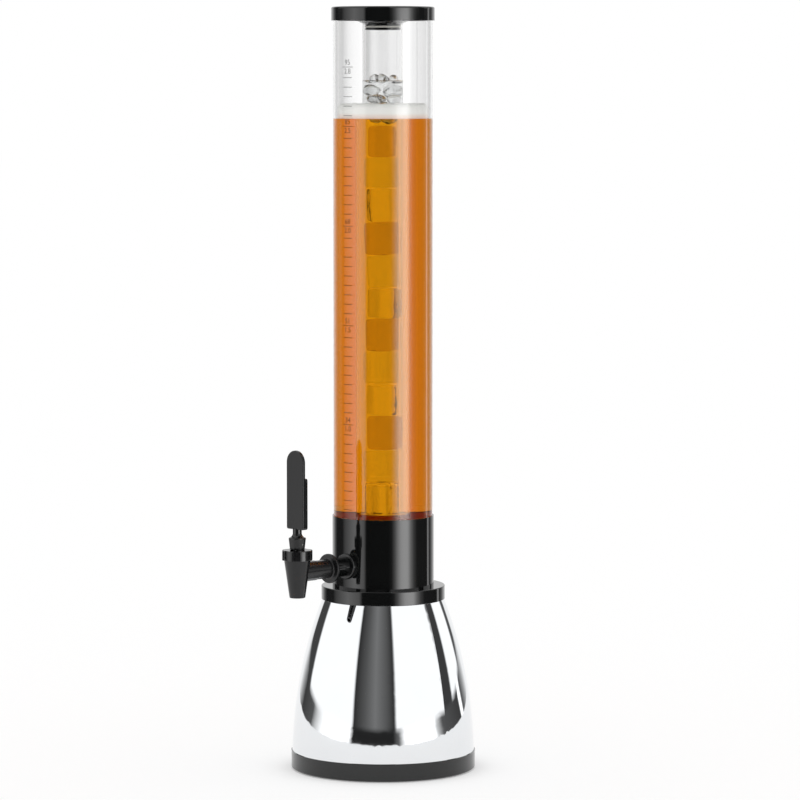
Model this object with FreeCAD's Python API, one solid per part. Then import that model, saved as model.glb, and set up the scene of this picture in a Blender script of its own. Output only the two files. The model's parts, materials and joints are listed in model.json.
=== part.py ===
"""Beer tower dispenser: a chromed bell stand, a black collar cup, a clear graduated tube with a lid,
a lift-out ice tube hanging from that lid, and a lever tap on the collar.

Frame: millimetres, +Z up. The origin is on the tower's axis, on the table that the pad stands on.
The tap points along -Y. Everything on the tower is turned about Z. The shank's line runs along Y.
"""

import FreeCAD, Part
import math
import os

Vector = FreeCAD.Vector

# Clearances that pieces share
SLIP = 0.1                  # radial gap of a glued or screwed seat
LOOSE = 0.3                 # gap of a seat that comes apart by hand
RUNNING = 0.06              # radial gap of a pin or stem that moves in its hole
HOLE_ROOM = 0.2             # radial gap of a screw in its through hole
TINY = 1e-4                 # lengths this close count as equal when an edge is picked

# Stand: the pad under the tray, the tray, the chromed bell and the ring on its top
PAD_INSET = 9.3             # the pad's rim, in from the tray's
PAD_THICKNESS = 3.0
PAD_RECESS = 2.0            # depth of the tray's recess, so the pad stands proud of the tray
TRAY_HEIGHT = 17.7
TRAY_STEP = 0.9             # how far the tray stands out beyond the bell
TRAY_CHAMFER = 1.2
TRAY_FLOOR = 3.0
TRAY_LIP_HEIGHT = 4.0       # the lip that centres the bell
TRAY_LIP_WALL = 2.2
TRAY_RIB_HEIGHT = 7.0
TRAY_RIB_WIDTH = 2.0
TRAY_RIB_COUNT = 8
TRAY_HUB_RADIUS = 14.0
BELL_FOOT_RADIUS = 92.4
BELL_TOP_RADIUS = 61.6
BELL_HEIGHT = 154.5
BELL_BULGE = 6.9            # how far the side bows out from a straight cone at half height
BELL_WALL = 2.5
BELL_DECK = 3.0
FLANGE_OVERHANG = 0.9       # how far the ring stands out beyond the bell's top
FLANGE_HEIGHT = 13.6
FLANGE_PLATE = 3.5
FLANGE_WALL = 3.0
FLANGE_ROUNDING = 0.8
FLANGE_RIB_WIDTH = 2.0

# Self-tapping screws, four under the bell's deck and four under the tray
SCREW_COUNT = 4
SCREW_ANGLE = 45.0          # the first screw's direction, off the ribs and the tap
SCREW_RADIUS = 1.8
SCREW_HEAD_RADIUS = 3.5
SCREW_HEAD_HEIGHT = 2.4
SCREW_HEAD_FACE = 0.7       # the head's flat top, as a share of its radius
SCREW_TIP = 1.8
FLANGE_SCREW_LENGTH = 12.0
TRAY_SCREW_LENGTH = 18.0
BOSS_WALL = 2.8             # plastic round a screw
POST_HEIGHT = 32.0          # the bell's screw posts
POST_INSET = 14.5           # a post's axis, in from the bell's foot
POST_WEB = 3.0

# Collar cup: holds the tube, carries the tap, screws into the flange ring by its neck
COLLAR_HEIGHT = 71.0
COLLAR_SOCKET_WALL = 1.2    # the thin wall round the tube
COLLAR_WALL = 3.8
COLLAR_FLOOR = 3.0
COLLAR_FLOOR_LIFT = 4.0     # the floor's underside above the collar's lower rim
NECK_RADIUS = 35.8
NECK_WALL = 3.0
NECK_LENGTH = 11.0
STUB_RADIUS = 9.75          # the outlet stub that the shank goes through
STUB_LENGTH = 20.7
ROOT_RING_RADIUS = 13.0     # the raised ring where the stub leaves the collar
ROOT_RING_HEIGHT = 2.6
ROOT_RING_ROUNDING = 1.6
NUT_FLOOR_GAP = 2.6         # the shank nut's corners above the cup's floor
PAD_LEDGE_GAP = 1.0         # the inner pad's top below the tube's ledge

# Main tube and its gasket
TUBE_RADIUS = 50.0
TUBE_WALL = 4.0
TUBE_EXPOSED = 508.5        # from the collar's rim to the tube's top
TUBE_CHAMFER = 0.4
GASKET_THICKNESS = 2.0

# Lid with its seal, and the boss that plugs the ice tube
LID_PLATE = 3.0
LID_SKIRT = 10.8
LID_WALL = 1.7
LID_ROUNDING = 1.8
PLUG_RING_WALL = 2.5
PLUG_RING_DEPTH = 8.6
SEAL_HEIGHT = 2.4
SEAL_DEPTH = 1.0            # how deep the seal sits in its groove
VENT_RADIUS = 1.5
VENT_PLACE = 33.0           # the vent's distance from the axis, on the side away from the tap
BOSS_SHOULDER_RADIUS = 25.4
BOSS_SHOULDER_DEPTH = 13.6  # from the lid's plate to the shoulder that the ice tube meets
BOSS_CHAMFER = 2.2
BOSS_PLUG_LENGTH = 6.6
BOSS_PLUG_WALL = 3.2
ORING_SECTION = 1.1         # radius of the O-ring's section

# Ice tube
ICE_RADIUS = 20.7
ICE_WALL = 2.5
ICE_FLOOR_GAP = 50.0        # the hanging tube's foot above the cup's floor
ICE_BASE_THICKNESS = 16.0

# Tap shank, washers and nut, along the outlet's line
TAP_REACH = 118.0           # from the tower's axis to the tap's
SHANK_TAIL_RADIUS = 7.8
SHANK_TUBE_RADIUS = 9.5
SHANK_FILLET = 1.5
SHANK_BORE_RADIUS = 4.5
SHANK_TAIL_BEYOND_NUT = 3.0
DISC_RADIUS = 14.8
DISC_THICKNESS = 3.2
DISC_ROUNDING = 1.0
OUTER_WASHER_RADIUS = 12.0
OUTER_WASHER_THICKNESS = 1.5
INNER_WASHER_RADIUS = 13.0
INNER_WASHER_THICKNESS = 2.0
INNER_PAD_RADIUS = 15.0     # the flat moulded inside the cup for the washer
INNER_PAD_RISE = 2.5        # the flat's height above the cup's wall
NUT_ACROSS_FLATS = 23.0
NUT_THICKNESS = 6.0

# Tap body
SPOUT_RADIUS = 7.8
BODY_TOP_RADIUS = 13.2
SPOUT_DROP = 25.4           # the spout's rim below the outlet's line
BODY_RISE = 12.6            # the body's shoulder above that line
SPOUT_ROUNDING = 0.8
OUTLET_RADIUS = 5.0
OUTLET_LENGTH = 14.0
CHAMBER_RADIUS = 8.0
SEAT_SLOPE_HEIGHT = 3.4     # height of the conical seat between the outlet and the chamber
BODY_NECK_RADIUS = 11.6
BODY_NECK_HEIGHT = 5.2
SOCKET_RADIUS = 10.0
SOCKET_REACH = 22.4         # the side socket's end, from the tap's axis
SOCKET_DEPTH = 8.0
NOSE_RADIUS = 6.4

# Bonnet
BONNET_RADIUS = 13.7
BONNET_LUG_RADIUS = 15.3
BONNET_LUG_COUNT = 8
BONNET_LUG_WIDTH = 5.6
BONNET_HEIGHT = 9.8
BONNET_PLATE = 3.0
BONNET_CHAMFER = 0.6

# Stem, and the bell-shaped seat cup whose springy skirt hangs from the bonnet
STEM_RADIUS = 3.0
STEM_BLADE_THICKNESS = 3.0
STEM_LIFT_ROOM = 2.7        # the round stem's top below the bonnet's face, so it never reaches the lever
CUP_RADIUS = 7.3
CUP_HEIGHT = 3.0            # straight part above the cone
CUP_GRIP = 4.0              # how far the stem goes into the cup
CUP_RIM_THICKNESS = 1.5
SKIRT_RADIUS = 6.2
SKIRT_WALL = 1.2
SKIRT_FLARE = 4.0           # height over which the skirt widens to the rim

# Lever: a cam foot, a neck and a flat paddle
TILT_RANGE = 32.0           # degrees, towards the user
CAM_RISE = 3.5              # millimetres of stem lift per radian of tilt
PIVOT_HEIGHT = 5.8          # the pin above the bonnet's face
FOOT_RADIUS = 7.3
FOOT_SHOULDER_RADIUS = 8.7
FOOT_HEIGHT = 12.2
FOOT_FLARE = 4.2            # height over which the shoulder draws in to the neck
FOOT_ROUNDING = 1.2         # the foot's shoulder
LEVER_NECK_RADIUS = 4.5
LEVER_NECK_LENGTH = 4.2
PADDLE_WIDTH = 24.0
PADDLE_THICKNESS = 7.0
PADDLE_LEDGE = 51.0         # height of the thick part; above its ledge a thin tongue goes on
PADDLE_HEIGHT = 78.5
PADDLE_CORNER = 2.0
PADDLE_ROUNDING = 1.0
TONGUE_THICKNESS = 3.2
PIN_RADIUS = 1.0
PIN_SETBACK = 0.4           # the pin's ends below the lever's surface

# Levels on the tower's axis, worked up from the table
tray_z = PAD_THICKNESS - PAD_RECESS
tray_floor_z = tray_z + PAD_RECESS
tray_floor_top = tray_floor_z + TRAY_FLOOR
tray_top = tray_z + TRAY_HEIGHT
bell_top = tray_top + BELL_HEIGHT
deck_z = bell_top - BELL_DECK
flange_top = bell_top + FLANGE_HEIGHT
collar_top = flange_top + COLLAR_HEIGHT
cup_floor_z = flange_top + COLLAR_FLOOR_LIFT
cup_floor_top = cup_floor_z + COLLAR_FLOOR
nut_corner = NUT_ACROSS_FLATS / 2 / math.cos(math.pi / 6)
outlet_z = cup_floor_top + NUT_FLOOR_GAP + nut_corner
ledge_z = outlet_z + INNER_PAD_RADIUS + PAD_LEDGE_GAP
tube_z = ledge_z + GASKET_THICKNESS
tube_top = collar_top + TUBE_EXPOSED
lid_top = tube_top + LID_PLATE
boss_shoulder_z = tube_top - BOSS_SHOULDER_DEPTH
boss_end_z = boss_shoulder_z - BOSS_PLUG_LENGTH
ice_z = cup_floor_top + ICE_FLOOR_GAP
ice_top = boss_shoulder_z - LOOSE

# Radii on the tower
tray_radius = BELL_FOOT_RADIUS + TRAY_STEP
pad_radius = tray_radius - PAD_INSET
lip_outer = BELL_FOOT_RADIUS - BELL_WALL - LOOSE
lip_inner = lip_outer - TRAY_LIP_WALL
flange_radius = BELL_TOP_RADIUS + FLANGE_OVERHANG
flange_bore = NECK_RADIUS + SLIP
hub_radius = flange_bore + FLANGE_WALL
deck_hole = NECK_RADIUS + 1.5 * SLIP
boss_radius = SCREW_RADIUS + BOSS_WALL
flange_screw_circle = (hub_radius + flange_radius - FLANGE_WALL) / 2
post_circle = BELL_FOOT_RADIUS - POST_INSET
socket_radius = TUBE_RADIUS + SLIP
collar_radius = socket_radius + COLLAR_SOCKET_WALL
cup_radius = collar_radius - COLLAR_WALL
tube_bore = TUBE_RADIUS - TUBE_WALL
lid_bore = TUBE_RADIUS + SLIP + SLIP
lid_radius = lid_bore + LID_WALL
plug_ring_radius = tube_bore - 2 * LOOSE
ice_bore = ICE_RADIUS - ICE_WALL
boss_plug_radius = ice_bore - LOOSE - SLIP

# Places along the outlet's line, as distances from the tower's axis
stub_end = collar_radius + STUB_LENGTH
inner_pad_face = cup_radius - INNER_PAD_RISE
disc_back = stub_end + OUTER_WASHER_THICKNESS
disc_front = disc_back + DISC_THICKNESS
nut_outer_face = inner_pad_face - INNER_WASHER_THICKNESS
nut_inner_face = nut_outer_face - NUT_THICKNESS
tail_end = nut_inner_face - SHANK_TAIL_BEYOND_NUT
socket_end = TAP_REACH - SOCKET_REACH
nose_end = socket_end + SOCKET_DEPTH

# Levels on the tap's axis
spout_z = outlet_z - SPOUT_DROP
body_top = outlet_z + BODY_RISE
seat_z = spout_z + OUTLET_LENGTH
seat_top = seat_z + SEAT_SLOPE_HEIGHT
neck_top = body_top + BODY_NECK_HEIGHT
bonnet_ceiling = neck_top + CUP_RIM_THICKNESS
bonnet_top = bonnet_ceiling + BONNET_PLATE
bonnet_z = bonnet_top - BONNET_HEIGHT
pivot_z = bonnet_top + PIVOT_HEIGHT
foot_z = bonnet_top + SLIP
stem_blade_z = bonnet_top - STEM_LIFT_ROOM
cup_top = seat_top + CUP_HEIGHT
paddle_z = foot_z + FOOT_HEIGHT + FOOT_FLARE + LEVER_NECK_LENGTH


def ring(outer, inner, bottom, top):
    """A ring, or a disc where inner is 0, about the Z axis."""
    solid = Part.makeCylinder(outer, top - bottom, Vector(0, 0, bottom))
    if inner > 0:
        solid = solid.cut(Part.makeCylinder(inner, top - bottom, Vector(0, 0, bottom)))
    return solid


def turned(points):
    """The solid that a closed outline of (radius, height) points sweeps about the Z axis."""
    corners = [Vector(radius, 0, height) for radius, height in points]
    face = Part.Face(Part.makePolygon(corners + corners[:1]))
    return face.revolve(Vector(0, 0, 0), Vector(0, 0, 1), 360)


def placed(shape, angle, radius=0.0):
    """A copy of shape moved out along X by radius and then turned about Z by angle degrees."""
    copy = shape.copy()
    copy.translate(Vector(radius, 0, 0))
    copy.rotate(Vector(0, 0, 0), Vector(0, 0, 1), angle)
    return copy


def around(shape, count, radius=0.0, first_angle=0.0):
    """Copies of shape, evenly spaced about Z."""
    return [placed(shape, first_angle + 360.0 * n / count, radius) for n in range(count)]


def along_outlet(shape):
    """Turns a shape built up the Z axis so that its height runs out from the tower along the outlet."""
    shape.rotate(Vector(0, 0, 0), Vector(1, 0, 0), 90)
    shape.translate(Vector(0, 0, outlet_z))
    return shape


def on_tap(shape):
    """Moves a shape built about the Z axis onto the tap's axis."""
    shape.translate(Vector(0, -TAP_REACH, 0))
    return shape


def joined(first, others):
    """One solid from touching or overlapping ones, with its split faces merged."""
    return first.fuse(others).removeSplitter()


def rounded(shape, size, edge_test):
    """Rounds the edges for which edge_test is true."""
    return shape.makeFillet(size, [edge for edge in shape.Edges if edge_test(edge)])


def chamfered(shape, size, edge_test):
    """Bevels the edges for which edge_test is true."""
    return shape.makeChamfer(size, [edge for edge in shape.Edges if edge_test(edge)])


def circle_at(radius, height):
    """A test for the full circles about Z of that radius at that height."""
    def test(edge):
        curve = edge.Curve
        return (
            isinstance(curve, Part.Circle)
            and abs(curve.Radius - radius) < TINY
            and abs(curve.Center.z - height) < TINY
            and abs(edge.Length - 2 * math.pi * radius) < TINY
        )
    return test


def screw(length):
    """A pan-head self-tapping screw pointing up, with its head's bearing face at height 0."""
    return turned([
        (0, -SCREW_HEAD_HEIGHT),
        (SCREW_HEAD_RADIUS * SCREW_HEAD_FACE, -SCREW_HEAD_HEIGHT),
        (SCREW_HEAD_RADIUS, -SCREW_HEAD_HEIGHT / 2),
        (SCREW_HEAD_RADIUS, 0),
        (SCREW_RADIUS, 0),
        (SCREW_RADIUS, length - SCREW_TIP),
        (0, length),
    ])


def screw_set(length, radius, bearing_z):
    """The screws of one circle, as separate solids in one compound."""
    one = screw(length)
    one.translate(Vector(0, 0, bearing_z))
    return Part.Compound(around(one, SCREW_COUNT, radius, SCREW_ANGLE))


# Stand

screw_seat_z = tray_floor_z + SCREW_HEAD_HEIGHT + LOOSE
screw_pad_top = screw_seat_z + TRAY_FLOOR


def non_slip_pad():
    """The foam disc that the dispenser stands on."""
    return ring(pad_radius, 0, 0, PAD_THICKNESS)


def base_tray():
    """The black foot: a ribbed floor with a recess below for the pad and a lip above for the bell."""
    recess = pad_radius + LOOSE
    tray = turned([
        (0, tray_floor_z),
        (recess, tray_floor_z),
        (recess, tray_z),
        (tray_radius - TRAY_CHAMFER, tray_z),
        (tray_radius, tray_z + TRAY_CHAMFER),
        (tray_radius, tray_top),
        (lip_outer, tray_top),
        (lip_outer, tray_top + TRAY_LIP_HEIGHT),
        (lip_inner, tray_top + TRAY_LIP_HEIGHT),
        (lip_inner, tray_floor_top),
        (0, tray_floor_top),
    ])
    hub = ring(TRAY_HUB_RADIUS, TRAY_HUB_RADIUS - TRAY_LIP_WALL, tray_floor_top,
               tray_floor_top + TRAY_RIB_HEIGHT)
    rib_start = TRAY_HUB_RADIUS - TRAY_LIP_WALL / 2
    rib = Part.makeBox(lip_inner + TRAY_LIP_WALL / 2 - rib_start, TRAY_RIB_WIDTH, TRAY_RIB_HEIGHT,
                       Vector(rib_start, -TRAY_RIB_WIDTH / 2, tray_floor_top))
    pad = ring(SCREW_HEAD_RADIUS + BOSS_WALL, 0, tray_floor_z, screw_pad_top)
    head_room = ring(SCREW_HEAD_RADIUS + LOOSE, 0, tray_floor_z, screw_seat_z)
    hole = ring(SCREW_RADIUS + HOLE_ROOM, 0, tray_floor_z, screw_pad_top)
    half_step = 180.0 / TRAY_RIB_COUNT
    tray = joined(tray, [hub] + around(rib, TRAY_RIB_COUNT, 0, half_step)
                  + around(pad, SCREW_COUNT, post_circle, SCREW_ANGLE))
    return tray.cut(around(head_room, SCREW_COUNT, post_circle, SCREW_ANGLE)
                    + around(hole, SCREW_COUNT, post_circle, SCREW_ANGLE))


def bell_form(inset, top):
    """The bell filled in, with its bowed side drawn in by inset, up to the level top."""
    foot, crown = BELL_FOOT_RADIUS - inset, BELL_TOP_RADIUS - inset
    waist = (foot + crown) / 2 + BELL_BULGE
    side = Part.Arc(Vector(foot, 0, tray_top), Vector(waist, 0, (tray_top + bell_top) / 2),
                    Vector(crown, 0, bell_top)).toShape()
    outline = Part.Wire([
        side,
        Part.makeLine(Vector(crown, 0, bell_top), Vector(0, 0, bell_top)),
        Part.makeLine(Vector(0, 0, bell_top), Vector(0, 0, tray_top)),
        Part.makeLine(Vector(0, 0, tray_top), Vector(foot, 0, tray_top)),
    ])
    solid = Part.Face(outline).revolve(Vector(0, 0, 0), Vector(0, 0, 1), 360)
    if top < bell_top:
        solid = solid.cut(ring(BELL_FOOT_RADIUS, 0, top, bell_top))
    return solid


def bell_housing():
    """The chromed shell: a bowed side, a deck with the neck's hole, and four screw posts inside."""
    shell = bell_form(0, bell_top).cut(bell_form(BELL_WALL, deck_z))
    post = ring(boss_radius, 0, screw_pad_top, screw_pad_top + POST_HEIGHT)
    web = Part.makeBox(POST_INSET, POST_WEB, POST_HEIGHT,
                       Vector(0, -POST_WEB / 2, screw_pad_top))
    inside = bell_form(BELL_WALL / 2, deck_z)
    below = ring(BELL_FOOT_RADIUS, 0, 0, tray_top + TRAY_LIP_HEIGHT + LOOSE)
    webs = [shape.common(inside).cut(below) for shape in around(web, SCREW_COUNT, post_circle, SCREW_ANGLE)]
    shell = joined(shell, around(post, SCREW_COUNT, post_circle, SCREW_ANGLE) + webs)
    pilot = ring(SCREW_RADIUS, 0, screw_pad_top, screw_pad_top + POST_HEIGHT - BOSS_WALL)
    deck_hole_tool = ring(deck_hole, 0, deck_z, bell_top)
    screw_hole = ring(SCREW_RADIUS + HOLE_ROOM, 0, deck_z, bell_top)
    return shell.cut([deck_hole_tool] + around(pilot, SCREW_COUNT, post_circle, SCREW_ANGLE)
                     + around(screw_hole, SCREW_COUNT, flange_screw_circle, SCREW_ANGLE))


def flange_ring():
    """The black ring on the bell: a plate with a skirt, a hub for the collar's neck, bosses and ribs."""
    plate_z = flange_top - FLANGE_PLATE
    flange = ring(flange_radius, flange_bore, bell_top, flange_top)
    flange = rounded(flange, FLANGE_ROUNDING, circle_at(flange_radius, flange_top))
    flange = flange.cut(ring(flange_radius - FLANGE_WALL, hub_radius, bell_top, plate_z))
    rib_start = hub_radius - FLANGE_WALL / 2
    span = flange_radius - FLANGE_WALL / 2 - rib_start
    boss = ring(boss_radius, 0, bell_top, plate_z)
    rib = Part.makeBox(span, FLANGE_RIB_WIDTH, plate_z - bell_top,
                       Vector(rib_start, -FLANGE_RIB_WIDTH / 2, bell_top))
    pilot = ring(SCREW_RADIUS, 0, bell_top, bell_top + FLANGE_SCREW_LENGTH - BELL_DECK + LOOSE)
    flange = joined(flange, around(boss, SCREW_COUNT, flange_screw_circle, SCREW_ANGLE)
                    + around(rib, 2 * SCREW_COUNT))
    return flange.cut(around(pilot, SCREW_COUNT, flange_screw_circle, SCREW_ANGLE))


# Reservoir

def collar_cup():
    """The black cup under the tube, with the threaded neck below and the tap's stub on its side."""
    neck_z = flange_top - NECK_LENGTH
    neck_bore = NECK_RADIUS - NECK_WALL
    hollow_in = NECK_RADIUS + NECK_WALL
    hollow_out = collar_radius - COLLAR_WALL
    cup = turned([
        (0, cup_floor_z),
        (neck_bore, cup_floor_z),
        (neck_bore, neck_z),
        (NECK_RADIUS, neck_z),
        (NECK_RADIUS, flange_top),
        (hollow_in, flange_top),
        (hollow_in, cup_floor_z),
        (hollow_out, cup_floor_z),
        (hollow_out, flange_top),
        (collar_radius, flange_top),
        (collar_radius, collar_top),
        (socket_radius, collar_top),
        (socket_radius, ledge_z),
        (cup_radius, ledge_z),
        (cup_radius, cup_floor_top),
        (0, cup_floor_top),
    ])
    wall_middle = collar_radius - COLLAR_WALL / 2
    root = ring(ROOT_RING_RADIUS, 0, wall_middle - COLLAR_WALL, collar_radius + ROOT_RING_HEIGHT)
    root = rounded(root, ROOT_RING_ROUNDING, circle_at(ROOT_RING_RADIUS, collar_radius + ROOT_RING_HEIGHT))
    stub = ring(STUB_RADIUS, 0, wall_middle - COLLAR_WALL, stub_end)
    outside = along_outlet(root.fuse(stub))
    outside = outside.cut(ring(wall_middle, 0, flange_top, collar_top))
    pad = along_outlet(ring(INNER_PAD_RADIUS, 0, inner_pad_face, wall_middle))
    pad = pad.common(ring(wall_middle, 0, flange_top, collar_top))
    bore = along_outlet(ring(SHANK_TAIL_RADIUS + HOLE_ROOM, 0, 0, stub_end))
    return joined(cup, [outside, pad]).cut(bore)


def tube_gasket():
    """The flat silicone ring between the cup's ledge and the tube's end."""
    return ring(socket_radius - SLIP, cup_radius, ledge_z, tube_z)


def clear_tube(outer, inner, bottom, top):
    """A polished acrylic tube with its rims' edges broken."""
    tube = ring(outer, inner, bottom, top)
    for height in (bottom, top):
        for radius in (outer, inner):
            tube = chamfered(tube, TUBE_CHAMFER, circle_at(radius, height))
    return tube


# Lid and ice tube

def lid():
    """The black cap: skirt over the tube, plug ring inside it, and the boss that carries the ice tube."""
    cap = ring(lid_radius, 0, tube_top - LID_SKIRT, lid_top)
    cap = rounded(cap, LID_ROUNDING, circle_at(lid_radius, lid_top))
    cap = cap.cut(ring(lid_bore, 0, tube_top - LID_SKIRT, tube_top))
    plug_ring = ring(plug_ring_radius, plug_ring_radius - PLUG_RING_WALL,
                     tube_top - PLUG_RING_DEPTH, tube_top)
    boss = turned([
        (boss_plug_radius - BOSS_PLUG_WALL, tube_top),
        (BOSS_SHOULDER_RADIUS, tube_top),
        (BOSS_SHOULDER_RADIUS, boss_shoulder_z + BOSS_CHAMFER),
        (BOSS_SHOULDER_RADIUS - 2 * BOSS_CHAMFER, boss_shoulder_z),
        (boss_plug_radius, boss_shoulder_z),
        (boss_plug_radius, boss_end_z),
        (boss_plug_radius - BOSS_PLUG_WALL, boss_end_z),
    ])
    groove = ring(lid_bore, plug_ring_radius - SEAL_DEPTH, seal_z, seal_z + SEAL_HEIGHT)
    groove = groove.cut(ring(lid_bore, plug_ring_radius, seal_z, seal_z + SEAL_HEIGHT))
    oring_groove = ring(boss_plug_radius, oring_seat, oring_z - ORING_SECTION, oring_z + ORING_SECTION)
    vent = Part.makeCylinder(VENT_RADIUS, LID_PLATE, Vector(0, VENT_PLACE, tube_top))
    return joined(cap, [plug_ring, boss]).cut([groove, oring_groove, vent])


seal_z = tube_top - PLUG_RING_DEPTH + SEAL_HEIGHT
seal_radius = tube_bore - SLIP
oring_z = boss_end_z + BOSS_PLUG_LENGTH / 2
oring_mean = ice_bore - SLIP - ORING_SECTION
oring_seat = oring_mean - ORING_SECTION


def lid_seal():
    """The silicone ring in the plug ring's groove, with a rounded outer edge."""
    seal = ring(seal_radius, plug_ring_radius - SEAL_DEPTH, seal_z, seal_z + SEAL_HEIGHT)
    for height in (seal_z, seal_z + SEAL_HEIGHT):
        seal = chamfered(seal, SEAL_HEIGHT / 5, circle_at(seal_radius, height))
    return seal


def ice_tube_oring():
    """The O-ring that grips the ice tube's mouth."""
    return Part.makeTorus(oring_mean, ORING_SECTION, Vector(0, 0, oring_z), Vector(0, 0, 1))


# Tap

def tap_shank():
    """The hollow shank: threaded tail, disc flange, tube and the nose that enters the tap's body."""
    disc = ring(DISC_RADIUS, 0, disc_back, disc_front)
    for height in (disc_back, disc_front):
        disc = rounded(disc, DISC_ROUNDING, circle_at(DISC_RADIUS, height))
    tail = ring(SHANK_TAIL_RADIUS, 0, tail_end, disc_back)
    tube = ring(SHANK_TUBE_RADIUS, 0, disc_front, socket_end)
    nose = ring(NOSE_RADIUS, 0, socket_end, nose_end)
    solid = joined(disc, [tail, tube, nose])
    solid = rounded(solid, SHANK_FILLET, circle_at(SHANK_TUBE_RADIUS, disc_front))
    return along_outlet(solid.cut(ring(SHANK_BORE_RADIUS, 0, tail_end, nose_end)))


def outer_washer():
    """The silicone washer between the stub's end and the shank's disc."""
    return along_outlet(ring(OUTER_WASHER_RADIUS, SHANK_TAIL_RADIUS + SLIP, stub_end, disc_back))


def inner_washer():
    """The silicone washer between the cup's inner flat and the nut."""
    return along_outlet(ring(INNER_WASHER_RADIUS, SHANK_TAIL_RADIUS + SLIP, nut_outer_face, inner_pad_face))


def shank_nut():
    """The hexagon nut inside the cup, one corner up."""
    corners = [
        Vector(nut_corner * math.sin(math.pi * n / 3), nut_corner * math.cos(math.pi * n / 3), nut_inner_face)
        for n in range(7)
    ]
    nut = Part.Face(Part.makePolygon(corners)).extrude(Vector(0, 0, NUT_THICKNESS))
    return along_outlet(nut.cut(ring(SHANK_TAIL_RADIUS + SLIP, 0, nut_inner_face, nut_outer_face)))


def tap_body():
    """The tapering spout with its valve seat, its threaded neck and the socket for the shank's nose."""
    body = turned([
        (0, spout_z),
        (SPOUT_RADIUS, spout_z),
        (BODY_TOP_RADIUS, body_top),
        (BODY_NECK_RADIUS, body_top),
        (BODY_NECK_RADIUS, neck_top),
        (0, neck_top),
    ])
    body = rounded(body, SPOUT_ROUNDING, circle_at(SPOUT_RADIUS, spout_z))
    inside = turned([
        (0, spout_z),
        (OUTLET_RADIUS, spout_z),
        (OUTLET_RADIUS, seat_z),
        (CHAMBER_RADIUS, seat_top),
        (CHAMBER_RADIUS, neck_top),
        (0, neck_top),
    ])
    arm = along_outlet(ring(SOCKET_RADIUS, 0, socket_end, TAP_REACH))
    socket = along_outlet(ring(NOSE_RADIUS + SLIP, 0, socket_end, nose_end))
    way_in = along_outlet(ring(SHANK_BORE_RADIUS, 0, nose_end, TAP_REACH))
    return joined(on_tap(body), [arm]).cut([on_tap(inside), socket, way_in])


def bonnet():
    """The screwed cap of the tap, with grip lugs round it and the stem's hole in its face."""
    cap = ring(BONNET_RADIUS, 0, bonnet_z, bonnet_top)
    lug = Part.makeBox(BONNET_LUG_RADIUS, BONNET_LUG_WIDTH, BONNET_HEIGHT,
                       Vector(0, -BONNET_LUG_WIDTH / 2, bonnet_z))
    lugs = [piece.common(ring(BONNET_LUG_RADIUS, 0, bonnet_z, bonnet_top))
            for piece in around(lug, BONNET_LUG_COUNT, 0, 180.0 / BONNET_LUG_COUNT)]
    cap = joined(cap, lugs)
    bevel_cone = Part.makeCone(BONNET_LUG_RADIUS + BONNET_HEIGHT - BONNET_CHAMFER,
                               BONNET_LUG_RADIUS - BONNET_CHAMFER, BONNET_HEIGHT, Vector(0, 0, bonnet_z))
    cap = cap.common(bevel_cone)
    thread = ring(BODY_NECK_RADIUS + SLIP, 0, bonnet_z, bonnet_ceiling)
    shoulder = ring(BODY_TOP_RADIUS + SLIP, 0, bonnet_z, body_top)
    hole = ring(STEM_RADIUS + LOOSE, 0, bonnet_ceiling, bonnet_top)
    return on_tap(cap.cut([thread, shoulder, hole]))


def stem():
    """The steel stem: round below, and a flat blade with the pin's hole above."""
    foot = cup_top - CUP_GRIP
    rod = ring(STEM_RADIUS, 0, foot, stem_blade_z)
    blade = Part.makeBox(STEM_BLADE_THICKNESS, 2 * STEM_RADIUS, pivot_z - stem_blade_z,
                         Vector(-STEM_BLADE_THICKNESS / 2, -STEM_RADIUS, stem_blade_z))
    blade = blade.common(ring(STEM_RADIUS, 0, stem_blade_z, pivot_z))
    head = across_lever(STEM_RADIUS, STEM_BLADE_THICKNESS)
    head = head.common(ring(STEM_RADIUS, 0, pivot_z - STEM_RADIUS, pivot_z + STEM_RADIUS))
    hole = across_lever(PIN_RADIUS + RUNNING, STEM_BLADE_THICKNESS)
    return on_tap(joined(rod, [blade, head]).cut(hole))


def across_lever(radius, length):
    """A cylinder along X through the pivot, on the tap's own frame."""
    return Part.makeCylinder(radius, length, Vector(-length / 2, 0, pivot_z), Vector(1, 0, 0))


def seat_cup():
    """The silicone bell: a rim under the bonnet, a springy skirt, and a cone that closes the outlet."""
    grip_z = cup_top - CUP_GRIP
    slope = (CHAMBER_RADIUS - OUTLET_RADIUS) / SEAT_SLOPE_HEIGHT
    nose_z = seat_z + LOOSE
    cone_height = (CUP_RADIUS - OUTLET_RADIUS + LOOSE) / slope
    cup = turned([
        (0, nose_z),
        (OUTLET_RADIUS - LOOSE, nose_z),
        (CUP_RADIUS, nose_z + cone_height),
        (CUP_RADIUS, cup_top),
        (SKIRT_RADIUS, cup_top + SKIRT_WALL),
        (SKIRT_RADIUS, neck_top - SKIRT_FLARE),
        (CHAMBER_RADIUS - SLIP, neck_top),
        (BODY_NECK_RADIUS, neck_top),
        (BODY_NECK_RADIUS, bonnet_ceiling),
        (CHAMBER_RADIUS - SLIP - SKIRT_WALL, bonnet_ceiling),
        (CHAMBER_RADIUS - SLIP - SKIRT_WALL, neck_top),
        (SKIRT_RADIUS - SKIRT_WALL, neck_top - SKIRT_FLARE),
        (SKIRT_RADIUS - SKIRT_WALL, cup_top),
        (STEM_RADIUS + SLIP / 2, cup_top),
        (STEM_RADIUS + SLIP / 2, grip_z),
        (0, grip_z),
    ])
    return on_tap(cup)


# Lever

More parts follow.
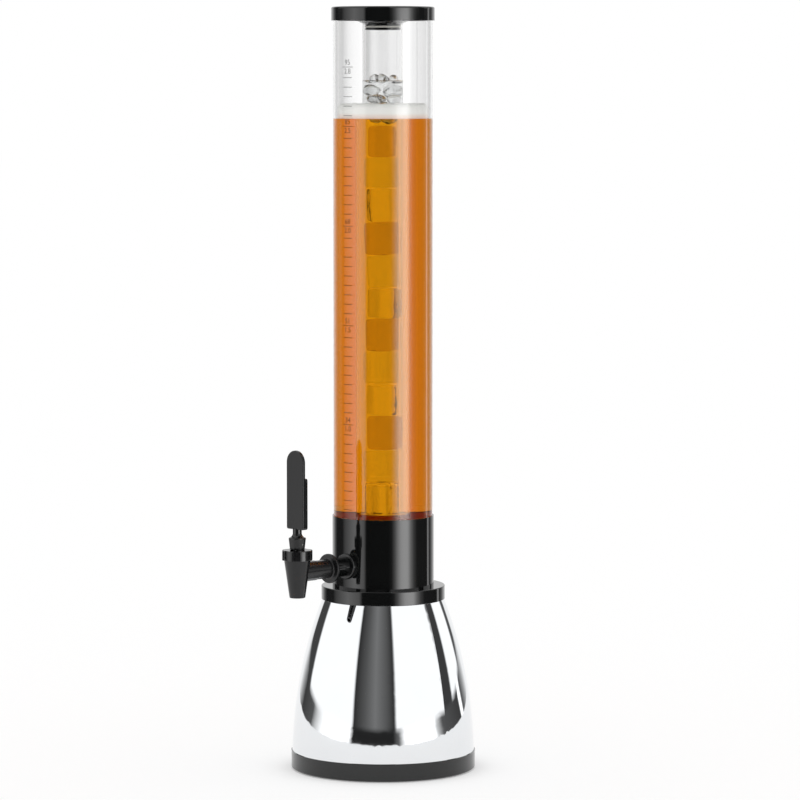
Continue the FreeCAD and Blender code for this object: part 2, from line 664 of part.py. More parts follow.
def cam_prism():
    """The lever foot's side view, carried across its width.

    Its front underside is the curve whose distance from the pin, measured straight down, grows by
    CAM_RISE for each radian of tilt, so the foot stays in touch with the bonnet as the stem rises.
    """
    rest = PIVOT_HEIGHT - SLIP
    top = foot_z + FOOT_HEIGHT + FOOT_FLARE
    steps = 8
    curve = []
    for n in range(steps + 1):
        tilt = math.radians(TILT_RANGE) * n / steps
        reach = rest + CAM_RISE * tilt
        along = -reach * math.sin(tilt) - CAM_RISE * math.cos(tilt)
        down = -reach * math.cos(tilt) + CAM_RISE * math.sin(tilt)
        curve.append(Vector(-FOOT_SHOULDER_RADIUS, along, pivot_z + down))
    cam = Part.BSplineCurve()
    cam.interpolate(curve)
    beyond = 2 * FOOT_SHOULDER_RADIUS
    front = Vector(-FOOT_SHOULDER_RADIUS, -beyond, curve[-1].z + (beyond + curve[-1].y)
                   * math.tan(math.radians(TILT_RANGE)))
    corners = [
        curve[-1],
        front,
        Vector(-FOOT_SHOULDER_RADIUS, -beyond, top),
        Vector(-FOOT_SHOULDER_RADIUS, beyond, top),
        Vector(-FOOT_SHOULDER_RADIUS, beyond, foot_z),
        curve[0],
    ]
    edges = [cam.toShape()] + [Part.makeLine(a, b) for a, b in zip(corners, corners[1:])]
    return Part.Face(Part.Wire(edges)).extrude(Vector(2 * FOOT_SHOULDER_RADIUS, 0, 0))


def blade_slot():
    """The slot in the foot that the stem's blade swings in, from upright to the full tilt."""
    reach = STEM_RADIUS + LOOSE
    tilt = math.radians(TILT_RANGE)
    half = STEM_BLADE_THICKNESS / 2 + HOLE_ROOM
    depth = PIVOT_HEIGHT + LOOSE
    side_y, side_z = -reach * math.cos(tilt), reach * math.sin(tilt)
    run = (depth + side_z) / math.cos(tilt)
    corners = [
        Vector(-half, reach, pivot_z),
        Vector(-half, reach, pivot_z - depth),
        Vector(-half, side_y - run * math.sin(tilt), pivot_z - depth),
        Vector(-half, side_y, pivot_z + side_z),
        Vector(-half, 0, pivot_z),
    ]
    swing = Part.Face(Part.makePolygon(corners + corners[:1])).extrude(Vector(2 * half, 0, 0))
    return swing.fuse(across_lever(reach, 2 * half))


def paddle():
    """The grip: a thick lower part with rounded corners and, flush with its front, a round-topped tongue."""
    half = PADDLE_WIDTH / 2
    front = -PADDLE_THICKNESS / 2
    round_z = paddle_z + PADDLE_HEIGHT - half
    block = Part.makeBox(PADDLE_WIDTH, PADDLE_THICKNESS, PADDLE_LEDGE, Vector(-half, front, paddle_z))
    block = rounded(block, PADDLE_CORNER, lambda edge: edge.BoundBox.YLength > PADDLE_THICKNESS - SLIP)
    tongue = Part.makeBox(PADDLE_WIDTH, TONGUE_THICKNESS, round_z - paddle_z - PADDLE_CORNER,
                          Vector(-half, front, paddle_z + PADDLE_CORNER))
    top = Part.makeCylinder(half, TONGUE_THICKNESS, Vector(0, front, round_z), Vector(0, 1, 0))
    grip = joined(block, [tongue, top])
    rim_of_front = [edge for edge in grip.Edges if abs(edge.BoundBox.YMax - front) < TINY]
    rim_of_back = [edge for edge in grip.Edges if abs(edge.BoundBox.YMin + front) < TINY]
    return grip.makeFillet(PADDLE_ROUNDING, rim_of_front + rim_of_back)


def tap_handle():
    """The lever: a forked cam foot on the bonnet, a neck and the paddle."""
    shoulder_z = foot_z + FOOT_HEIGHT
    flare_top = shoulder_z + FOOT_FLARE
    hollow = FOOT_FLARE / 6
    middle = Vector((FOOT_SHOULDER_RADIUS + LEVER_NECK_RADIUS) / 2 - hollow, 0,
                    (shoulder_z + flare_top) / 2 - hollow)
    flare = Part.Arc(Vector(FOOT_SHOULDER_RADIUS, 0, shoulder_z), middle,
                     Vector(LEVER_NECK_RADIUS, 0, flare_top)).toShape()
    outline = [
        Vector(LEVER_NECK_RADIUS, 0, flare_top),
        Vector(LEVER_NECK_RADIUS, 0, paddle_z + PADDLE_ROUNDING),
        Vector(0, 0, paddle_z + PADDLE_ROUNDING),
        Vector(0, 0, foot_z),
        Vector(FOOT_RADIUS, 0, foot_z),
        Vector(FOOT_SHOULDER_RADIUS, 0, shoulder_z),
    ]
    edges = [Part.makeLine(a, b) for a, b in zip(outline, outline[1:])] + [flare]
    turned_foot = Part.Face(Part.Wire(edges)).revolve(Vector(0, 0, 0), Vector(0, 0, 1), 360)
    turned_foot = rounded(turned_foot, FOOT_ROUNDING, circle_at(FOOT_SHOULDER_RADIUS, shoulder_z))
    foot_zone = ring(2 * FOOT_SHOULDER_RADIUS, 0, foot_z, flare_top)
    foot = turned_foot.common(foot_zone).common(cam_prism())
    neck = turned_foot.cut(foot_zone)
    lever = joined(foot, [neck, paddle()])
    return on_tap(lever.cut([blade_slot(), across_lever(PIN_RADIUS, 4 * FOOT_SHOULDER_RADIUS)]))


def handle_pin():
    """The steel pin on which the lever turns on the stem."""
    rise = (PIVOT_HEIGHT - SLIP) / FOOT_HEIGHT
    foot_radius_at_pin = FOOT_RADIUS + (FOOT_SHOULDER_RADIUS - FOOT_RADIUS) * rise
    return on_tap(across_lever(PIN_RADIUS, 2 * (foot_radius_at_pin - PIN_SETBACK)))


def build():
    """Every piece of the dispenser, by its name."""
    return {
        "non_slip_pad": non_slip_pad(),
        "base_tray": base_tray(),
        "tray_screws": screw_set(TRAY_SCREW_LENGTH, post_circle, screw_seat_z),
        "bell_housing": bell_housing(),
        "flange_ring": flange_ring(),
        "flange_screws": screw_set(FLANGE_SCREW_LENGTH, flange_screw_circle, deck_z),
        "collar_cup": collar_cup(),
        "tube_gasket": tube_gasket(),
        "main_tube": clear_tube(TUBE_RADIUS, tube_bore, tube_z, tube_top),
        "lid": lid(),
        "lid_seal": lid_seal(),
        "ice_tube_oring": ice_tube_oring(),
        "ice_tube": clear_tube(ICE_RADIUS, ice_bore, ice_z, ice_top),
        "ice_tube_base": ring(ice_bore - SLIP / 2, 0, ice_z, ice_z + ICE_BASE_THICKNESS),
        "tap_shank": tap_shank(),
        "outer_washer": outer_washer(),
        "inner_washer": inner_washer(),
        "shank_nut": shank_nut(),
        "tap_body": tap_body(),
        "bonnet": bonnet(),
        "stem": stem(),
        "seat_cup": seat_cup(),
        "tap_handle": tap_handle(),
        "handle_pin": handle_pin(),
    }


os.makedirs("parts", exist_ok=True)
for name, shape in build().items():
    shape.exportStep("parts/" + name + ".step")
    print(name, len(shape.Solids), round(shape.Volume, 1), shape.isValid())
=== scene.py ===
"""Dresses the beer tower dispenser: a clear tube of beer with an ice tube in it, on a chromed bell stand.

Sizes are in metres, and the frame is the part's own: the axis is Z, the table is z = 0 and the tap points
along -Y.
"""
import json
import logging
import math
import random
from dataclasses import dataclass, field
from enum import Enum

import bpy
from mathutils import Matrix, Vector


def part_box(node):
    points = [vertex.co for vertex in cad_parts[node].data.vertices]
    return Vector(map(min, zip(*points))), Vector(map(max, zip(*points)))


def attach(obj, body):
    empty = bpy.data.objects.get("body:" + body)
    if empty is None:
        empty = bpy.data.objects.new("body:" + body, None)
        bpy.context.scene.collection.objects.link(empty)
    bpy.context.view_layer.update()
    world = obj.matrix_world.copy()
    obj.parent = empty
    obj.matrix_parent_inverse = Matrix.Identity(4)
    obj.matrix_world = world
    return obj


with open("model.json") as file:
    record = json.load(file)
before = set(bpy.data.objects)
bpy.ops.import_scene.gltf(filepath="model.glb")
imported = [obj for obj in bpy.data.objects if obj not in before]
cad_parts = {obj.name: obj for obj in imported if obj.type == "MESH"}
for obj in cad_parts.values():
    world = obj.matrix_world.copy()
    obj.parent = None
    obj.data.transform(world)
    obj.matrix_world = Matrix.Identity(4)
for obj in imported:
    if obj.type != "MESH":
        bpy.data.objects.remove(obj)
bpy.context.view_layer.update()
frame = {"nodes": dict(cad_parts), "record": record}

LOG = logging.getLogger("beer_tower")
MM = 0.001
WHITE = (1.0, 1.0, 1.0, 1.0)


class Body(Enum):
    """The bodies that a new piece can ride on."""

    TOWER = "tower"
    ICE_TUBE = "ice_tube"


def linear(hex_colour: str) -> tuple[float, float, float, float]:
    """Turns an sRGB hex colour into linear values.

    Args:
        hex_colour: Six hex digits after a hash sign.

    Returns:
        Linear red, green, blue and an alpha of 1.
    """
    channels = [int(hex_colour[i:i + 2], 16) / 255 for i in (1, 3, 5)]
    return tuple(c / 12.92 if c <= 0.04045 else ((c + 0.055) / 1.055) ** 2.4 for c in channels) + (1.0,)


def add_node(tree: bpy.types.NodeTree, kind: str, inputs: dict | None = None, **settings) -> bpy.types.Node:
    """Adds a node, sets its properties, and sets or links its inputs.

    Args:
        tree: The node tree it goes into.
        kind: The node's type, such as ShaderNodeMath.
        inputs: For each input, by name or number, a value or the output that feeds it.
        **settings: Properties of the node itself.

    Returns:
        The new node.
    """
    node = tree.nodes.new(kind)
    for key, value in settings.items():
        setattr(node, key, value)
    for key, value in (inputs or {}).items():
        if isinstance(value, bpy.types.NodeSocket):
            tree.links.new(value, node.inputs[key])
        else:
            node.inputs[key].default_value = value
    return node


def new_tree(material: bpy.types.Material) -> bpy.types.NodeTree:
    """Gives a material an empty node tree.

    Args:
        material: The material to clear.

    Returns:
        Its node tree.
    """
    material.use_nodes = True
    material.node_tree.nodes.clear()
    return material.node_tree


def ramp(tree: bpy.types.NodeTree, value: bpy.types.NodeSocket,
         stops: list[tuple[float, float]]) -> bpy.types.NodeSocket:
    """Adds a grey ramp.

    Args:
        tree: The node tree.
        value: What it is read at, from 0 to 1.
        stops: Pairs of position and grey level.

    Returns:
        The ramp's colour output.
    """
    node = add_node(tree, "ShaderNodeValToRGB", {0: value})
    elements = node.color_ramp.elements
    elements[0].position, elements[1].position = stops[0][0], stops[-1][0]
    elements[0].color, elements[1].color = (stops[0][1],) * 3 + (1.0,), (stops[-1][1],) * 3 + (1.0,)
    for place, level in stops[1:-1]:
        elements.new(place).color = (level, level, level, 1.0)
    return node.outputs["Color"]


@dataclass(frozen=True)
class Relief:
    """A fine unevenness of a surface: a noise of one real size, read on Object coordinates.

    Attributes:
        grain: The size of one bump in millimetres.
        depth: The height of the bumps in millimetres.
        stretch: How much longer the bumps are along Z than across.
        patch: The width of a patch that handling has rubbed, in bumps.
    """

    grain: float
    depth: float
    stretch: float = 1.0
    patch: float = 12.0

    def normal(self, tree: bpy.types.NodeTree) -> bpy.types.NodeSocket:
        """Adds the bump.

        Args:
            tree: The node tree.

        Returns:
            The output with the bump's normal.
        """
        place = add_node(tree, "ShaderNodeTexCoord")
        turned = add_node(tree, "ShaderNodeMapping", {"Vector": place.outputs["Object"],
                                                      "Scale": (1.0, 1.0, 1.0 / self.stretch)})
        noise = add_node(tree, "ShaderNodeTexNoise", {"Vector": turned.outputs[0],
                                                      "Scale": 1.0 / (self.grain * MM), "Detail": 2.0})
        bump = add_node(tree, "ShaderNodeBump", {"Height": noise.outputs[0], "Distance": self.depth * MM,
                                                 "Strength": 1.0})
        return bump.outputs[0]

    def roughness(self, tree: bpy.types.NodeTree, low: float, high: float) -> bpy.types.NodeSocket:
        """Adds a patchy roughness, as handling leaves it.

        Args:
            tree: The node tree.
            low: The lowest roughness.
            high: The highest roughness.

        Returns:
            The roughness output.
        """
        place = add_node(tree, "ShaderNodeTexCoord")
        noise = add_node(tree, "ShaderNodeTexNoise", {"Vector": place.outputs["Object"],
                                                      "Scale": 1.0 / (self.grain * self.patch * MM),
                                                      "Detail": 3.0})
        spread = add_node(tree, "ShaderNodeMapRange", {0: noise.outputs[0], 1: 0.3, 2: 0.7, 3: low, 4: high})
        return spread.outputs[0]


@dataclass(frozen=True)
class Moulding:
    """An opaque surface of plastic, rubber or metal.

    Attributes:
        name: The real material and how its surface was made.
        colour: Its sRGB colour.
        worn: The colour of its thinner or rubbed patches.
        roughness: The lowest and highest roughness.
        relief: Its fine unevenness.
        ior: Its index of refraction.
        metallic: 1 for a metal.
        alpha: How much of what is behind a thin film it covers.
        patch: The width of a patch of either colour in millimetres.
    """

    name: str
    colour: str
    worn: str
    roughness: tuple[float, float]
    relief: Relief
    ior: float = 1.5
    metallic: float = 0.0
    alpha: float = 1.0
    patch: float = 25.0

    def material(self) -> bpy.types.Material:
        """Makes the material on the first call.

        Returns:
            The material.
        """
        if self.name in bpy.data.materials:
            return bpy.data.materials[self.name]
        made = bpy.data.materials.new(self.name)
        tree = new_tree(made)
        place = add_node(tree, "ShaderNodeTexCoord")
        patches = add_node(tree, "ShaderNodeTexNoise", {"Vector": place.outputs["Object"],
                                                        "Scale": 1.0 / (self.patch * MM), "Detail": 3.0})
        shade = add_node(tree, "ShaderNodeMix", {0: patches.outputs[0], 6: linear(self.colour),
                                                 7: linear(self.worn)}, data_type="RGBA")
        shader = add_node(tree, "ShaderNodeBsdfPrincipled", {
            "Base Color": shade.outputs[2], "Metallic": self.metallic, "IOR": self.ior, "Alpha": self.alpha,
            "Roughness": self.relief.roughness(tree, *self.roughness), "Normal": self.relief.normal(tree)})
        add_node(tree, "ShaderNodeOutputMaterial", {"Surface": shader.outputs[0]})
        return made


@dataclass(frozen=True)
class Clear:
    """A clear solid or liquid that light goes through.

    Attributes:
        name: The real material and how its surface was made.
        tint: The colour that its surfaces give.
        ior: Its index of refraction.
        roughness: How much its surface scatters.
        relief: Its unevenness, or None.
        absorbs: The sRGB colour that it takes on with its thickness, or None.
        density: How strongly it absorbs, to a metre.
    """

    name: str
    tint: str
    ior: float
    roughness: float = 0.0
    relief: Relief | None = None
    absorbs: str | None = None
    density: float = 0.0

    def material(self) -> bpy.types.Material:
        """Makes the material on the first call.

        Returns:
            The material.
        """
        if self.name in bpy.data.materials:
            return bpy.data.materials[self.name]
        made = bpy.data.materials.new(self.name)
        tree = new_tree(made)
        shader = add_node(tree, "ShaderNodeBsdfPrincipled", {
            "Base Color": linear(self.tint), "IOR": self.ior, "Roughness": self.roughness,
            "Transmission Weight": 1.0})
        if self.relief:
            tree.links.new(self.relief.normal(tree), shader.inputs["Normal"])
        output = add_node(tree, "ShaderNodeOutputMaterial", {"Surface": shader.outputs[0]})
        if self.absorbs:
            fluid = add_node(tree, "ShaderNodeVolumeAbsorption", {"Color": linear(self.absorbs),
                                                                  "Density": self.density})
            tree.links.new(fluid.outputs[0], output.inputs["Volume"])
        return made


@dataclass(frozen=True)
class BeerFoam:
    """The head on the beer: small bubbles that scatter light, warmer where they meet the beer.

    Attributes:
        foot_z: The height of the beer under it.
        depth: How thick it is.
        warm_share: The share of its depth in which the beer's warmth fades.
        name: Its name.
        top: Its colour.
        foot: Its colour where it meets the beer.
        bubbles: The number of bubbles to a metre: 0.7 mm each, a little coarser than real ones, to show.
        dimple: The height of a bubble.
    """

    foot_z: float
    depth: float
    warm_share: float = 0.4
    name: str = "beer_foam_of_fine_bubbles"
    top: str = "#f6f6f2"
    foot: str = "#e8cfc0"
    bubbles: float = 1400.0
    dimple: float = 0.0004

    def material(self) -> bpy.types.Material:
        """Makes the material.

        Returns:
            The material.
        """
        made = bpy.data.materials.new(self.name)
        tree = new_tree(made)
        place = add_node(tree, "ShaderNodeTexCoord")
        parts = add_node(tree, "ShaderNodeSeparateXYZ", {0: place.outputs["Object"]})
        warm_top = self.foot_z + self.depth * self.warm_share
        height = add_node(tree, "ShaderNodeMapRange", {0: parts.outputs[2], 1: self.foot_z, 2: warm_top,
                                                       3: 0.0, 4: 1.0})
        shade = add_node(tree, "ShaderNodeMix", {0: height.outputs[0], 6: linear(self.foot),
                                                 7: linear(self.top)}, data_type="RGBA")
        bubbles = add_node(tree, "ShaderNodeTexVoronoi", {"Vector": place.outputs["Object"],
                                                          "Scale": self.bubbles})
        bump = add_node(tree, "ShaderNodeBump", {"Height": bubbles.outputs[0], "Distance": self.dimple,
                                                 "Strength": 0.6})
        shader = add_node(tree, "ShaderNodeBsdfPrincipled", {
            "Base Color": shade.outputs[2], "Roughness": 0.5, "IOR": 1.33, "Normal": bump.outputs[0]})
        add_node(tree, "ShaderNodeOutputMaterial", {"Surface": shader.outputs[0]})
        return made


# Polished injection-moulded ABS: near black, mirror-like, with a faint ripple from the mould.
POLISHED_ABS = Moulding("black_abs_polished_moulding", "#0d0e0e", "#111212", (0.05, 0.09), Relief(3.0, 0.004),
                        1.54)
# Polypropylene tap parts: black and glossy, a little softer than the ABS.
TAP_PLASTIC = Moulding("black_polypropylene_moulding", "#101011", "#161617", (0.16, 0.26), Relief(1.2, 0.006),
                       1.49)
# Decorative chrome over moulded ABS: a mirror that keeps the moulding's long, shallow waves.
CHROME = Moulding("chrome_plating_on_abs", "#eceef0", "#e8eaec", (0.02, 0.04), Relief(25.0, 0.01), 1.5, 1.0)
# Stainless screws and pin: drawn, so with fine lines along their length.
STAINLESS = Moulding("stainless_steel_drawn", "#c9cac8", "#b5b6b4", (0.18, 0.3), Relief(0.3, 0.003, 8.0), 1.5,
                     1.0)
# Closed-cell EVA foam: matt, with skinned-over cells of about 0.8 mm.
EVA_FOAM = Moulding("eva_foam_closed_cell", "#1d1d1d", "#262626", (0.85, 0.95), Relief(0.8, 0.15), 1.45)
# Moulded silicone rubber: milky, with a dull, slightly dusty surface.
SILICONE = Moulding("silicone_rubber_moulded", "#d3d1c9", "#c6c4bc", (0.4, 0.55), Relief(1.0, 0.01), 1.41)
# Silicone sealant, spread by hand and cured: milky and wetly smooth.
SEALANT = Moulding("silicone_sealant_cured", "#f0ece2", "#e6e1d6", (0.3, 0.45), Relief(4.0, 0.02), 1.41)
# Screen-printed ink: a thin grey film, a little matt, with the faint grain of the screen.
INK = Moulding("screen_printed_ink", "#2b2a29", "#353433", (0.35, 0.5), Relief(0.4, 0.004), 1.5, 0.0, 0.5)
# Extruded acrylic, clear and polished, with almost unseen lines along its length.
ACRYLIC = Clear("clear_acrylic_extruded", "#ffffff", 1.49, 0.0, Relief(2.5, 0.0015, 40.0))
# Lager: bright amber that deepens with its thickness. Its index is that of water with malt and alcohol in it.
BEER = Clear("lager_beer", "#fffdc8", 1.34, 0.0, None, "#fdec9b", 119.2)
# Chilled water.
WATER = Clear("chilled_water", "#fdfefe", 1.333)
# Ice in water: its faces show only faintly, since water bends light almost as much. Its index is
# near the ratio of the two.
CLEAR_ICE = Clear("clear_ice_in_water", "#f6f8f8", 1.03, 0.0, Relief(6.0, 0.15))
# Ice in water with a greyer, darker tint than the clear cubes: painted shade, standing in for cubes that
# refraction through the beer shows darker.
SHADE_TINTED_ICE = Clear("ice_in_water_tinted_as_shade", "#e4d6d3", 1.03, 0.0, Relief(6.0, 0.15))
# Half-melted ice, the clearest, with rounded faces that catch the light.
MELTED_ICE = Clear("melting_ice_in_water", "#ffffff", 1.14, 0.0, Relief(6.0, 0.9))
# Clear ice in air, wet and glassy.
WET_ICE = Clear("clear_ice_wet", "#f4f5f5", 1.31, 0.0, Relief(2.2, 0.45))


def deselect() -> None:
    """Leaves object mode and deselects everything, so that an operator acts on the new piece alone."""
    if bpy.context.object and bpy.context.object.mode != "OBJECT":
        bpy.ops.object.mode_set(mode="OBJECT")
    bpy.ops.object.select_all(action="DESELECT")


def apply_modifier(obj: bpy.types.Object, kind: str, **settings) -> None:
    """Adds a modifier to an object and applies it.

    Args:
        obj: The object.
        kind: The modifier's type.
        **settings: Its properties.
    """
    bpy.context.view_layer.objects.active = obj
    modifier = obj.modifiers.new(kind.title(), kind)
    for key, value in settings.items():
        setattr(modifier, key, value)
    bpy.ops.object.modifier_apply(modifier=modifier.name)


def pick(pieces: list[bpy.types.Object]) -> None:
    """Selects these objects alone and makes the first of them active.

    Args:
        pieces: The objects.
    """
    deselect()
    for piece in pieces:
        piece.select_set(True)
    bpy.context.view_layer.objects.active = pieces[0]


def joined(pieces: list[bpy.types.Object]) -> bpy.types.Object:
    """Joins objects into one.

    Args:
        pieces: The objects.

    Returns:
        The first of them, which holds them all.
    """
    pick(pieces)
    bpy.ops.object.join()
    return pieces[0]


def apply_place(obj: bpy.types.Object) -> None:
    """Moves an object's place, turn and size into its mesh."""
    pick([obj])
    bpy.ops.object.transform_apply(location=True, rotation=True, scale=True)


def smooth(obj: bpy.types.Object, degrees: float = 35.0) -> None:
    """Shades an object smooth, except across edges sharper than the angle."""
    pick([obj])
    bpy.ops.object.shade_smooth_by_angle(angle=math.radians(degrees))


def dress(obj: bpy.types.Object, name: str, body: Body, finish: Moulding | Clear | BeerFoam) -> None:
    """Names a finished piece, gives it its material and lets it ride on its body.

    Args:
        obj: The piece.
        name: Its name.
        body: The body that carries it.
        finish: Its finish.
    """
    obj.name = obj.data.name = name
    obj.data.materials.clear()
    obj.data.materials.append(finish.material())
    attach(obj, body.value)
    LOG.info("%s: %d faces on %s", name, len(obj.data.polygons), body.value)


def spun(outline: list[tuple[float, float]], steps: int = 96) -> bpy.types.Object:
    """Spins an outline once round the tower's axis.

    Args:
        outline: Pairs of radius and height, the first repeated at the end unless both ends are on the axis.
        steps: The number of steps in the turn.

    Returns:
        The spun object, closed and with its faces outwards.
    """
    merge_distance = 1e-6
    deselect()
    bpy.ops.mesh.primitive_plane_add(size=MM, location=(outline[0][0], 0.0, outline[0][1]))
    obj = bpy.context.object
    apply_place(obj)
    bpy.ops.object.mode_set(mode="EDIT")
    bpy.ops.mesh.select_all(action="SELECT")
    bpy.ops.mesh.merge(type="CENTER")
    for here, there in zip(outline, outline[1:]):
        bpy.ops.mesh.extrude_vertices_move(
            TRANSFORM_OT_translate={"value": (there[0] - here[0], 0.0, there[1] - here[1])})
    bpy.ops.mesh.select_all(action="SELECT")
    bpy.ops.mesh.remove_doubles(threshold=merge_distance)
    bpy.ops.mesh.spin(steps=steps, angle=math.tau, center=(0, 0, 0), axis=(0, 0, 1))
    bpy.ops.mesh.select_all(action="SELECT")
    bpy.ops.mesh.remove_doubles(threshold=merge_distance)
    bpy.ops.mesh.normals_make_consistent(inside=False)
    bpy.ops.object.mode_set(mode="OBJECT")
    return obj


@dataclass
class Levels:
    """Heights and radii in the tubes that hold the drink, read from the frame where a box tells them.

    Attributes:
        tube_bore: The radius of the tube's bore.
        tube_foot: The height of the tube's foot.
        tube_radius: The radius of the tube's outside.
        ice_radius: The radius of the ice tube's outside.
        ice_bore: The radius of the ice tube's bore.
        ice_floor: The height of the ice tube's floor.
        beer: The level of the beer.
        water: The level of the water in the ice tube.
        overlap: How far a liquid is let into a wall that it wets, or a dry solid is kept off it.
    """

    tube_bore: float = 0.046
    tube_foot: float = field(default_factory=lambda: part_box("main_tube")[0].z)
    tube_radius: float = field(default_factory=lambda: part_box("main_tube")[1].x)
    ice_radius: float = field(default_factory=lambda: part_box("ice_tube")[1].x)
    ice_bore: float = 0.0182
    ice_floor: float = field(default_factory=lambda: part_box("ice_tube_base")[1].z)
    beer: float = 0.6578
    water: float = 0.695
    overlap: float = 0.0002


@dataclass
class Drink:
    """The beer round the ice tube, and the foam on it.

    Attributes:
        levels: The levels of what is in the tubes.
        foam_depth: How thick the foam is.
        foam_lift: The gap that keeps the foam's underside off the beer.
        meniscus: How far the foam creeps up the walls.
        froth: How uneven the foam's top is before it is smoothed.
        rim: The depth of the foam's top that is made uneven.
    """

    levels: Levels
    foam_depth: float = 0.0145
    foam_lift: float = 0.00005
    meniscus: float = 0.0012
    froth: float = 0.0035
    rim: float = 0.001

    def beer(self) -> None:
        """Builds the beer as a ring from the tube's foot to its level, let a little into both walls."""
        outer = self.levels.tube_bore + self.levels.overlap
        inner = self.levels.ice_radius - self.levels.overlap
        low, high = self.levels.tube_foot + self.levels.overlap, self.levels.beer
        obj = spun([(inner, low), (outer, low), (outer, high), (inner, high), (inner, low)], 128)
        smooth(obj)
        dress(obj, "beer", Body.TOWER, BEER)

    def foam(self) -> None:
        """Builds the foam as a ring with an uneven, bubbly top, off both walls so that it stays white."""
        outer = self.levels.tube_bore - self.levels.overlap
        inner = self.levels.ice_radius + self.levels.overlap
        low = self.levels.beer + self.foam_lift
        high = low + self.foam_depth
        span, rings = outer - inner, 10
        top = [(outer - span * i / rings, high + self.meniscus * (2 * i / rings - 1) ** 6)
               for i in range(rings + 1)]
        obj = spun([(inner, low), (outer, low)] + top + [(inner, low)], 160)
        plan = [(vertex.co.x, vertex.co.y) for vertex in obj.data.vertices]
        for vertex in obj.data.vertices:
            vertex.select = vertex.co.z > high - self.rim
        for part in list(obj.data.edges) + list(obj.data.polygons):
            part.select = all(obj.data.vertices[i].select for i in part.vertices)
        bpy.ops.object.mode_set(mode="EDIT")
        bpy.ops.transform.vertex_random(offset=self.froth, uniform=0.0, normal=0.0, seed=4)
        bpy.ops.mesh.vertices_smooth(factor=0.5, repeat=3, xaxis=False, yaxis=False)
        bpy.ops.object.mode_set(mode="OBJECT")
        for vertex, (x, y) in zip(obj.data.vertices, plan):
            vertex.co.x, vertex.co.y = x, y
        smooth(obj, 60.0)
        dress(obj, "beer_foam", Body.TOWER, BeerFoam(self.levels.beer, self.foam_depth))


@dataclass
class Sealant:
    """The film of sealant that holds the tube in the collar. It shows only through the tube's foot.

    Attributes:
        levels: The levels of what is in the tubes.
        lift: How far the film's foot lies above the tube's.
        inset: How far the film's top lies below the collar's rim.
        reach: How far the film reaches into and out of the tube's wall.
    """

    levels: Levels
    lift: float = 0.001
    inset: float = 0.0008
    reach: tuple[float, float] = (0.00012, 0.00008)

    def build(self) -> None:
        """Builds the film as a thin ring from the tube's foot to just below the collar's rim."""
        inner, outer = self.levels.tube_radius - self.reach[0], self.levels.tube_radius + self.reach[1]
        low, high = self.levels.tube_foot + self.lift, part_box("collar_cup")[1].z - self.inset
        obj = spun([(inner, low), (outer, low), (outer, high), (inner, high), (inner, low)], 96)
        smooth(obj)
        dress(obj, "tube_sealant", Body.TOWER, SEALANT)


